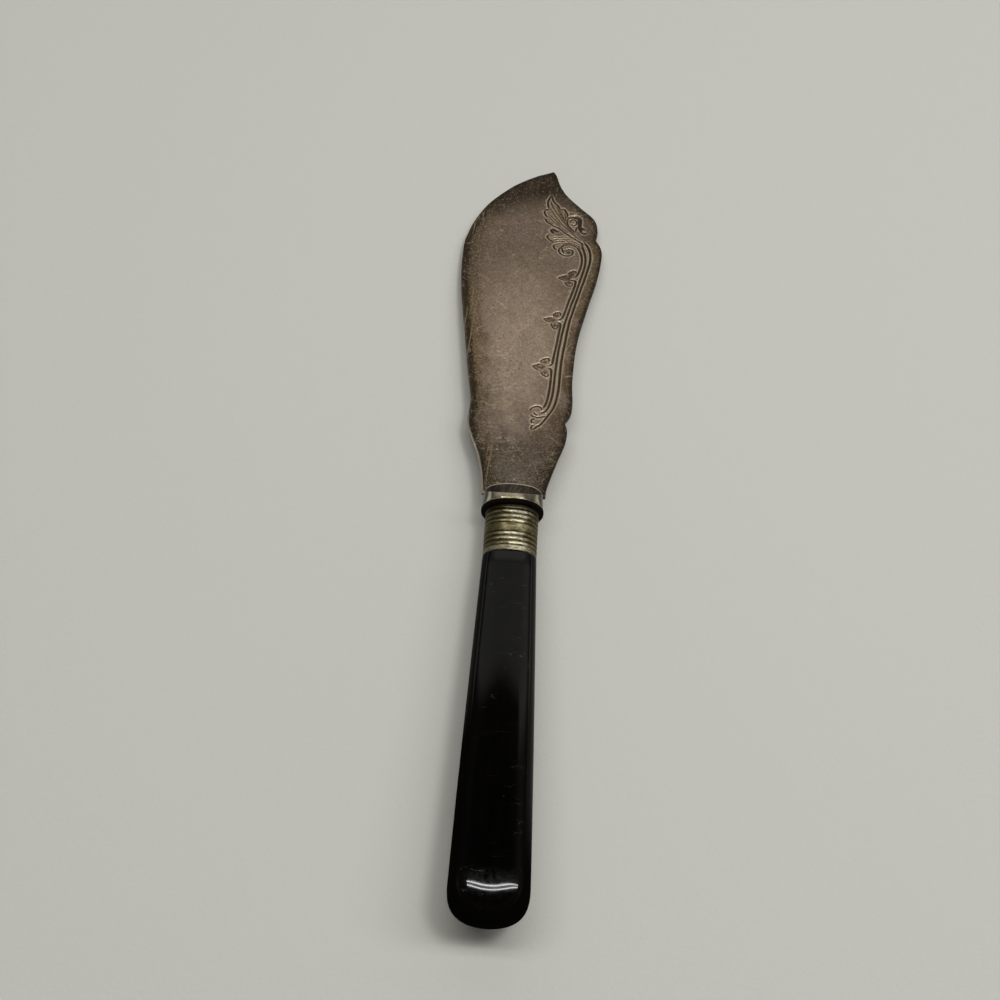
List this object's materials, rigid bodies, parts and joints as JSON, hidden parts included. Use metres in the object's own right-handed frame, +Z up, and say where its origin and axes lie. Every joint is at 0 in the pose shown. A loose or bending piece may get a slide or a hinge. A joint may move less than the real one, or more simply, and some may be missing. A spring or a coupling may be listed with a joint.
{
  "type": "butter knife",
  "caption": "Butter knife with a broad engraved blade with a scalloped spine, an oval bolster, a reeded ferrule and a tapering black handle with a rounded butt.",
  "frame": {"origin": "on the ground under the middle of the knife's bounding box, with the knife lying on its bolster and on the point of its blade", "axes": "+Y from the butt towards the point, +X towards the spine, +Z up from the ground to the engraved face"},
  "size_m": [0.0338, 0.189, 0.0184],
  "materials": {
    "tarnished_plate": "tarnished silver plate on nickel silver, fine scratches",
    "polished_plate": "polished silver plate on nickel silver",
    "nickel_silver": "polished nickel silver, dark in the grooves",
    "black_grip": "glossy black, polished",
    "tang_steel": "dull",
    "resin_cement": "matte"
  },
  "bodies": {
    "root": {"blade": "tarnished_plate", "bolster": "polished_plate", "ferrule": "nickel_silver", "handle": "black_grip", "tang": "tang_steel", "cement_bed": "resin_cement"}
  },
  "joints": []
}
